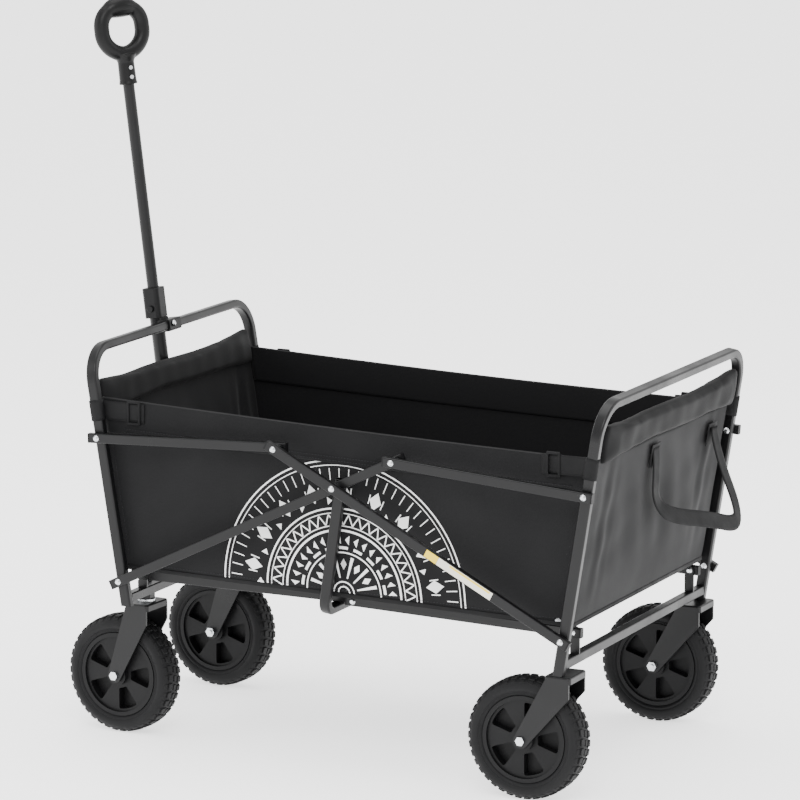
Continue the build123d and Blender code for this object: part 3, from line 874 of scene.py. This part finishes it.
    def piping(self) -> None:
        """Bind the bottom edge of the tub with a narrow folded tape."""
        mesh = bmesh.new()
        corners = [(Side.LEFT, 0.0), (Side.LEFT, 1.0), (Side.RIGHT, 1.0), (Side.RIGHT, 0.0)]
        path = [self.wall_point(side, u, 0.006, 0.6) for side, u in corners]
        for first, second in zip(path, path[1:] + path[:1]):
            run = second - first
            turn = run.to_track_quat("X", "Z").to_matrix().to_4x4()
            place = Matrix.Translation((first + second) / 2) @ turn
            add_block(mesh, (run.length + 2 * MM, 2.6 * MM, 6.5 * MM), place, 1.1 * MM, 3)
        self.keep(finish_object("bottom_binding", mesh, self.paint.webbing))

    def mat(self) -> None:
        """Make the folding mat: four stiff panels in one padded cloth cover."""
        low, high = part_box("floor_boards")
        length = (high.x - low.x) / self.panels
        for number in range(self.panels):
            mesh = bmesh.new()
            x = low.x + length * (number + 0.5)
            z = (self.low + PITCH * (x / MM - ORIGIN_X) + 5.6) * MM
            place = Matrix.Translation((x, 0, z)) @ Matrix.Rotation(-atan(PITCH), 4, "Y")
            size = (length - 2 * MM, high.y - low.y - 2 * MM, 7.0 * MM)
            bmesh.ops.create_cube(mesh, size=1.0)
            bmesh.ops.subdivide_edges(mesh, edges=mesh.edges, cuts=11, use_grid_fill=True)
            for vert in mesh.verts:
                crown = (1 - (2 * vert.co.x) ** 4) * (1 - (2 * vert.co.y) ** 4)
                if vert.co.z > 0:
                    vert.co.z = 0.18 + 0.42 * crown ** 0.5
            bmesh.ops.scale(mesh, vec=size, verts=mesh.verts)
            bmesh.ops.transform(mesh, matrix=place, verts=mesh.verts)
            pad = finish_object(f"mat_panel_{number + 1}", mesh, self.paint.padded)
            add_modifier(pad, "SUBSURF", levels=1, render_levels=1)
            apply_modifiers(pad)
            self.keep(pad)
            if number == 0:
                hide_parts("floor_boards")

    def sleeve(self, end: End) -> None:
        """Make the padded sleeve between the legs of one end frame.

        Args:
            end: Which end it is.
        """
        low, high, wide, out = (491.0, 551.0, 240.5, 0.0) if end is End.FRONT else (487.0, 549.0, 251.0, -3.0)
        middle = (low + high) / 2
        tilt = Matrix.Translation(at(leg_x(end, middle) + out, 0, middle)) @ Matrix.Rotation(
            end.value * atan(LEAN), 4, "Y")
        mesh = bmesh.new()
        add_block(mesh, (13 * MM, (2 * wide - 8) * MM, (high - low - 6) * MM), Matrix.Identity(4), 5 * MM, 4)
        roll = finish_object(f"end_pad_{end.name.lower()}", mesh, self.paint.padded)
        inflate(roll, pressure=3.2, cap=5.5 * MM, voxel=4.5 * MM)
        for vert in roll.data.vertices:
            across, up = vert.co.y / MM, vert.co.z / MM
            crease = 0.7 * sin(across / 17 + up / 9) + 0.5 * sin(across / 7.3)
            vert.co.x += crease * MM * (0.4 + 0.6 * abs(across) / wide)
            vert.co.z += 1.2 * MM * sin(across / 46)
        roll.data.transform(tilt)
        add_modifier(roll, "SUBSURF", levels=1, render_levels=1)
        apply_modifiers(roll)
        for polygon in roll.data.polygons:
            polygon.use_smooth = True
        body = "front_frame" if end is End.FRONT else "rear_frame"
        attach(roll, body)
        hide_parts(f"end_sleeve_{end.name.lower()}")
        log.info("built %s", roll.name)

    def straps(self, end: End) -> None:
        """Wrap webbing round both legs of one end and sew its tab to the tub.

        Args:
            end: Which end it is.
        """
        height = 495.0 + end.value * 8.4
        leg_y = 250.5 if end is End.FRONT else 265.5
        inner = self.half_width(leg_x(end, height)) - 1
        half_x, half_y = 9.2, 7.4
        mesh = bmesh.new()
        for side in Side:
            tilt = Matrix.Translation(at(leg_x(end, height), side.value * leg_y, height)) @ Matrix.Rotation(
                end.value * atan(LEAN), 4, "Y")
            ring = [Vector((half_x, half_y, 0)), Vector((-half_x, half_y, 0)), Vector((-half_x, -half_y, 0)),
                    Vector((half_x, -half_y, 0))]
            closed = [ring[0].lerp(ring[3], 0.5)] + ring + [ring[0].lerp(ring[3], 0.5)]
            path = [tilt @ Vector((p.x * MM, p.y * MM * side.value, 0)) for p in smooth_path(closed, 49)]
            up = (tilt.to_3x3() @ Vector((0, 0, 1))) * 15 * MM
            add_ribbon(mesh, path, [up] * len(path))
            start = at(leg_x(end, height) + end.value * 4, side.value * (leg_y - half_y), height)
            reach = 72 if end is End.FRONT else 84
            stop = at(leg_x(end, height) - end.value * reach, side.value * (inner + 5.2), height - 2)
            tab = smooth_path([start, start.lerp(stop, 0.35), stop], 25)
            add_ribbon(mesh, tab, [Vector((0, 0, 14 * MM))] * len(tab))
            self.buckle(mesh, start.lerp(stop, 0.78), side)
        strap = finish_object(f"leg_straps_{end.name.lower()}", mesh, self.paint.webbing)
        add_modifier(strap, "SOLIDIFY", thickness=1.0 * MM, offset=0.0)
        apply_modifiers(strap)
        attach(strap, "front_frame" if end is End.FRONT else "rear_frame")
        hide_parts(f"corner_straps_{end.name.lower()}")
        log.info("built %s", strap.name)

    def buckle(self, mesh: bmesh.types.BMesh, spot: Vector, side: Side) -> None:
        """Add the square slider that the strap's tab runs through.

        Args:
            mesh: The bmesh to add to.
            spot: Its middle, on the tab.
            side: Which wall it lies on.
        """
        lift = Vector((0, side.value * 1.2 * MM, 0))
        for along in (-9.0, 9.0):
            place = Matrix.Translation(spot + lift + Vector((along * MM, 0, 0)))
            add_block(mesh, (3.0 * MM, 2.8 * MM, 33 * MM), place, 0.9 * MM, 2)
        for rise in (-16.0, 16.0):
            place = Matrix.Translation(spot + lift + Vector((0, 0, rise * MM)))
            add_block(mesh, (20 * MM, 2.8 * MM, 3.0 * MM), place, 0.9 * MM, 2)

    def loop(self) -> None:
        """Hang the webbing pull loop from two sewn patches on the rear wall."""
        corners = [at(-397, 38, 478), at(-398, 38, 440), at(-396, 38, 398), at(-408, 10, 372),
                   at(-428, -100, 348), at(-439, -176, 326), at(-434, -190, 350), at(-412, -184, 410),
                   at(-400, -183, 452), at(-399, -183, 468)]
        path = smooth_path(corners, 90)
        widths = []
        for number, point in enumerate(path):
            run = path[min(number + 1, len(path) - 1)] - path[max(number - 1, 0)]
            flat = run.normalized().cross(Vector((-1, 0, 0.25)))
            widths.append(flat.normalized() * 12 * MM)
        mesh = bmesh.new()
        add_ribbon(mesh, path, widths)
        strap = finish_object("rear_pull_loop", mesh, self.paint.webbing)
        add_modifier(strap, "SOLIDIFY", thickness=1.8 * MM, offset=0.0)
        apply_modifiers(strap)
        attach(strap, "rear_frame")
        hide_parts("pull_loop")
        mesh = bmesh.new()
        for y, z in ((38, 466), (-183, 458)):
            x = leg_x(End.REAR, z) - 4.5
            tilt = Matrix.Translation(at(x, y, z)) @ Matrix.Rotation(-atan(LEAN), 4, "Y")
            add_block(mesh, (1.6 * MM, 32 * MM, 34 * MM), tilt, 0.6 * MM, 2)
        patch = finish_object("loop_patches", mesh, self.paint.webbing)
        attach(patch, "rear_frame")
        log.info("built %s", strap.name)

    def eyelet(self) -> None:
        """Press a small bright eyelet into the left wall near its rear bottom corner."""
        mesh = bmesh.new()
        for side in Side:
            point = self.wall_point(side, 0.034, 0.02, 0.8)
            made = bmesh.ops.create_cone(mesh, cap_ends=True, segments=32, radius1=4.4 * MM, radius2=3.6 * MM,
                                         depth=1.2 * MM)
            place = Matrix.Translation(point) @ Matrix.Rotation(-side.value * pi / 2, 4, "X")
            bmesh.ops.transform(mesh, matrix=place, verts=made["verts"])
        self.keep(finish_object("corner_eyelets", mesh, self.paint.zinc), "zinc")


@dataclass
class Rosette:
    """The white printed half rosette on each side wall: plain rings, ticks, triangles and dots."""

    tub: Tub
    centre_x: float = 1.0
    radius: float = 193.0
    lift: float = 0.35

    def point(self, side: Side, x: float, z: float) -> Vector:
        """Give the place on the cloth of a point of the pattern.

        Args:
            side: Which wall.
            x: Forward of the pattern's centre, in mm.
            z: Above the pattern's centre, in mm.

        Returns:
            The point.
        """
        real_x = self.centre_x + x
        real_z = self.tub.low_z(real_x) + 5.5 + z
        return at(real_x, side.value * (self.tub.side_y(real_x, real_z) + self.lift), real_z)

    def band(self, mesh: bmesh.types.BMesh, side: Side, inner: float, outer: float, start: float = 0.0,
             sweep: float = 180.0) -> None:
        """Add part of a ring.

        Args:
            mesh: The bmesh to add to.
            side: Which wall it is on.
            inner: Its inner radius.
            outer: Its outer radius.
            start: Where it starts, in degrees from the front.
            sweep: How far it goes round.
        """
        steps = max(1, ceil(sweep * outer / 300))

        def place(u: float, v: float) -> Vector:
            """Give a point of the ring."""
            angle, reach = radians(start + sweep * u), inner + (outer - inner) * v
            return self.point(side, reach * cos(angle), reach * sin(angle))

        add_grid(mesh, steps, 1, place)

    def shape(self, mesh: bmesh.types.BMesh, side: Side, sides: int, radius: float, reach: float, angle: float,
              turn: float = 0.0, tall: float = 1.0) -> None:
        """Add a filled shape of a few sides at a place given by reach and angle.

        Args:
            mesh: The bmesh to add to.
            side: Which wall it is on.
            sides: Its number of corners.
            radius: Its own radius.
            reach: Its distance from the pattern's centre.
            angle: Its direction from the centre, in degrees.
            turn: How far it is turned, in degrees.
            tall: How much it is stretched away from the centre.
        """
        made = bmesh.ops.create_circle(mesh, cap_ends=True, segments=sides, radius=1.0)
        facing = radians(angle)
        for vert in made["verts"]:
            corner = Matrix.Rotation(radians(turn), 2) @ Vector((vert.co.x, vert.co.y))
            out, along = corner.x * radius * tall + reach, corner.y * radius
            vert.co = self.point(side, out * cos(facing) - along * sin(facing),
                                 out * sin(facing) + along * cos(facing))

    def zigzag(self, mesh: bmesh.types.BMesh, side: Side, inner: float, outer: float, teeth: int) -> None:
        """Add a line that runs to and fro between two radii.

        Args:
            mesh: The bmesh to add to.
            side: Which wall it is on.
            inner: The smaller radius.
            outer: The larger radius.
            teeth: Number of teeth in the half circle.
        """
        half = 90 / teeth
        for number in range(2 * teeth):
            rising = number % 2 == 0

            def place(u: float, v: float, n: int = number, up: bool = rising) -> Vector:
                """Give a point of one stroke, 1.5 mm thick round the circle."""
                reach = inner + (outer - inner) * (u if up else 1 - u)
                angle = radians((n + u) * half) + (v - 0.5) * 2.0 / reach
                return self.point(side, reach * cos(angle), reach * sin(angle))

            add_grid(mesh, 6, 1, place)

    def pattern(self, mesh: bmesh.types.BMesh, side: Side) -> None:
        """Draw the whole pattern on one wall.

        Args:
            mesh: The bmesh to add to.
            side: Which wall.
        """
        for inner, outer in ((190.8, 193.0), (184.6, 185.9), (121.5, 124.0), (115.6, 116.9), (97.0, 98.4),
                             (89.5, 92.5), (58.0, 60.0)):
            self.band(mesh, side, inner, outer)
        for number in range(36):
            self.band(mesh, side, 164.0, 181.0, number * 5 + 2.3, 0.45)
        for number in range(9):
            angle = 10 + number * 20
            self.shape(mesh, side, 4, 9.5, 147.0, angle, 0.0, 1.5)
            for step in (-4.2, 4.2):
                self.band(mesh, side, 140.0, 154.0, angle + step, 0.6)
            self.shape(mesh, side, 3, 5.0, 134.0, angle + 10 if number < 8 else 0.9, 0.0, 1.3)
        self.zigzag(mesh, side, 99.0, 114.5, 22)
        for number in range(18):
            self.shape(mesh, side, 3, 4.2, 78.0, 5 + number * 10, 180.0, 1.9)
        for number in range(9):
            angle = 10 + number * 20
            self.band(mesh, side, 64.0, 68.0, angle - 6, 12.0)
        for number in range(6):
            angle = 15 + number * 30
            self.band(mesh, side, 22.0, 54.0, angle - 2.6, 5.2)
            self.shape(mesh, side, 4, 4.6, 42.0, angle + 15 if number < 5 else 90, 0.0, 1.8)
        for reach in (10.0, 17.0):
            self.band(mesh, side, reach - 2.0, reach)

    def build(self) -> None:
        """Print the pattern on both walls."""
        for side in Side:
            mesh = bmesh.new()
            self.pattern(mesh, side)
            bmesh.ops.recalc_face_normals(mesh, faces=mesh.faces)
            for face in mesh.faces:
                if face.normal.y * side.value < 0:
                    face.normal_flip()
            data = bpy.data.meshes.new(f"print_{side.name.lower()}")
            mesh.to_mesh(data)
            mesh.free()
            data.materials.append(self.tub.paint.ink)
            piece = bpy.data.objects.new(data.name, data)
            bpy.context.scene.collection.objects.link(piece)
            add_modifier(piece, "SOLIDIFY", thickness=0.2 * MM, offset=-1.0)
            apply_modifiers(piece)
            self.tub.keep(piece)


@dataclass
class HandGrip:
    """The D-shaped rubber grip at the top of the pull handle."""

    paint: Paint
    pivot_x: float = 382.6
    pivot_z: float = 222.0
    lean: float = 7.15
    turn: float = 56.0
    socket_low: float = 733.0
    ring_low: float = 779.0
    ring_wide: float = 67.0
    ring_tall: float = 71.0
    section: float = 11.6

    def outline(self, angle: float) -> tuple[float, float]:
        """Give the ring's centreline, wide at the top and narrow at the neck, as (across, up).

        Args:
            angle: Round the ring, in radians.

        Returns:
            Across and up, in mm.
        """
        up = sin(angle)
        across = cos(angle) * self.ring_wide / 2
        across *= 1.0 - 0.10 * max(0.0, -up) ** 1.5 + 0.10 * abs(up * cos(angle)) - 0.03 * max(0.0, up)
        flat = abs(up) ** (0.82 if up > 0 else 1.0)
        height = self.ring_tall / 2 * (1 + (flat if up > 0 else -flat))
        return across, height

    def build(self) -> None:
        """Make the ring and neck, fuse them into one skin and smooth it."""
        mesh = bmesh.new()
        made = bmesh.ops.create_circle(mesh, segments=20, radius=0.25)
        bmesh.ops.rotate(mesh, verts=made["verts"], matrix=Matrix.Rotation(pi / 2, 3, "X"))
        bmesh.ops.translate(mesh, verts=made["verts"], vec=(1, 0, 0))
        bmesh.ops.spin(mesh, geom=mesh.verts[:] + mesh.edges[:], cent=(0, 0, 0), axis=(0, 0, 1),
                       angle=2 * pi, steps=96, use_merge=True, dvec=(0, 0, 0))
        for vert in mesh.verts:
            angle = Vector((vert.co.x, vert.co.y)).angle_signed(Vector((1, 0)))
            out = (hypot(vert.co.x, vert.co.y) - 1) / 0.25
            deep = vert.co.z / 0.25
            first, second = self.outline(angle - 0.02), self.outline(angle + 0.02)
            here = self.outline(angle)
            side = Vector((second[1] - first[1], -(second[0] - first[0]))).normalized()
            bulge = 1.0 + 0.30 * max(0.0, 1 - ((angle - pi / 2) / 0.62) ** 2) if angle > 0 else 1.0
            reach = self.section * bulge
            inward = 1.12 if out < 0 and bulge > 1 else 1.0
            vert.co = Vector(((here[0] + side.x * out * reach * inward) * MM, deep * reach * MM,
                              (self.ring_low + here[1] + side.y * out * reach * inward) * MM))
        neck = bmesh.ops.create_cone(mesh, cap_ends=True, segments=48, radius1=13 * MM, radius2=12.2 * MM,
                                     depth=(self.ring_low - self.socket_low - 2) * MM)
        bmesh.ops.translate(mesh, verts=neck["verts"], vec=(0, 0, (self.ring_low + self.socket_low - 2) / 2 * MM))
        flare = bmesh.ops.create_cone(mesh, cap_ends=True, segments=48, radius1=12.2 * MM, radius2=17 * MM,
                                      depth=12 * MM)
        bmesh.ops.translate(mesh, verts=flare["verts"], vec=(0, 0, (self.ring_low - 7) * MM))
        collar = bmesh.ops.create_cone(mesh, cap_ends=True, segments=48, radius1=13.9 * MM, radius2=13.9 * MM,
                                       depth=3 * MM)
        bmesh.ops.translate(mesh, verts=collar["verts"], vec=(0, 0, (self.socket_low + 1.6) * MM))
        grip = finish_object("rubber_grip", mesh, self.paint.grip)
        add_modifier(grip, "REMESH", mode="VOXEL", voxel_size=1.3 * MM)
        add_modifier(grip, "SMOOTH", factor=0.5, iterations=8)
        apply_modifiers(grip)
        place = (Matrix.Translation(at(self.pivot_x, 0, self.pivot_z)) @ Matrix.Rotation(radians(self.lean), 4, "Y")
                 @ Matrix.Rotation(radians(self.turn), 4, "Z"))
        grip.data.transform(place)
        for polygon in grip.data.polygons:
            polygon.use_smooth = True
        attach(grip, "handle_top")
        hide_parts("hand_grip")
        log.info("built %s", grip.name)


@dataclass
class Studio:
    """The pale floor, the soft lights and the camera."""

    azimuth: float = 205.309
    elevation: float = 10.599
    distance: float = 6.966
    lens: float = 213.16
    target: tuple[float, float, float] = (25.47, 0.0, 505.39)
    floor_glow: float = 1.4

    def build(self) -> None:
        """Set up the floor, world, lights and camera."""
        mesh = bmesh.new()
        bmesh.ops.create_grid(mesh, x_segments=1, y_segments=1, size=30.0)
        sheet = STUDIO_FLOOR.build()
        shader = next(node for node in sheet.node_tree.nodes if node.type == "BSDF_PRINCIPLED")
        shader.inputs["Emission Color"].default_value = (1.0, 1.0, 1.0, 1.0)
        shader.inputs["Emission Strength"].default_value = self.floor_glow
        floor = finish_object("studio_floor", mesh, sheet, smooth=False)
        world = bpy.data.worlds.new("studio_world")
        bpy.context.scene.world = world
        world.use_nodes = True
        background = world.node_tree.nodes["Background"]
        background.inputs["Color"].default_value = (1.0, 1.0, 1.0, 1.0)
        background.inputs["Strength"].default_value = 1.5
        self.light("key", (-1.4, 3.4, 3.6), 110.0, 2.0)
        self.light("fill", (3.6, 2.2, 2.0), 50.0, 2.4)
        self.light("rear", (-3.4, -1.6, 2.4), 22.0, 1.6)
        self.light("top", (0.2, 0.0, 4.2), 90.0, 3.0)
        self.camera()

    def light(self, name: str, spot: tuple[float, float, float], power: float, size: float) -> None:
        """Hang a square soft light that points at the wagon's middle.

        Args:
            name: The light's name.
            spot: Where it hangs, in metres.
            power: Its power in watts.
            size: Its width in metres.
        """
        lamp = bpy.data.lights.new(name, "AREA")
        lamp.energy = power
        lamp.size = size
        holder = bpy.data.objects.new(name, lamp)
        holder.location = spot
        aim = Vector((0, 0, 0.4)) - Vector(spot)
        holder.rotation_euler = aim.to_track_quat("-Z", "Y").to_euler()
        bpy.context.scene.collection.objects.link(holder)

    def camera(self) -> None:
        """Stand the camera at its angle and distance, aimed at the target."""
        turn, tilt = radians(self.azimuth), radians(self.elevation)
        back = Vector((sin(turn) * cos(tilt), -cos(turn) * cos(tilt), sin(tilt)))
        lens = bpy.data.cameras.new("camera")
        lens.lens = self.lens
        lens.clip_end = 200.0
        holder = bpy.data.objects.new("camera", lens)
        holder.location = at(*self.target) + back * self.distance
        holder.rotation_euler = (-back).to_track_quat("-Z", "Y").to_euler()
        bpy.context.scene.collection.objects.link(holder)
        bpy.context.scene.camera = holder


def wheel_axles() -> dict[str, Matrix]:
    """Give each wheel's place, with Z out along its axle.

    Returns:
        The places by the wheels' name endings.
    """
    places = {}
    for side in Side:
        out = Matrix.Rotation(-side.value * pi / 2, 4, "X")
        name = side.name.lower()
        places[f"rear_{name}"] = Matrix.Translation(at(-292, side.value * 245, 89)) @ out
        swing = Matrix.Translation(at(367.6, side.value * 156.5, 89)) @ Matrix.Rotation(radians(-4), 4, "Z")
        places[f"front_{name}"] = swing @ Matrix.Translation((38.7 * MM, 0, 0)) @ out
    return places


def main() -> None:
    """Build the studio, dress the CAD nodes and make every piece."""
    logging.basicConfig(level=logging.INFO, format="%(name)s: %(message)s")
    Studio().build()
    paint = Paint()
    steel = Frame(paint)
    steel.dress()
    steel.build()
    tyres = Wheel(paint)
    for name, axle in wheel_axles().items():
        tyres.build(name, axle)
    HandGrip(paint).build()
    tub = Tub(paint)
    tub.walls()
    tub.hems()
    tub.seams()
    tub.piping()
    tub.mat()
    tub.eyelet()
    Rosette(tub).build()
    for end in End:
        tub.sleeve(end)
        tub.straps(end)
    tub.loop()
    tub.settle()


if __name__ == "__main__":
    main()
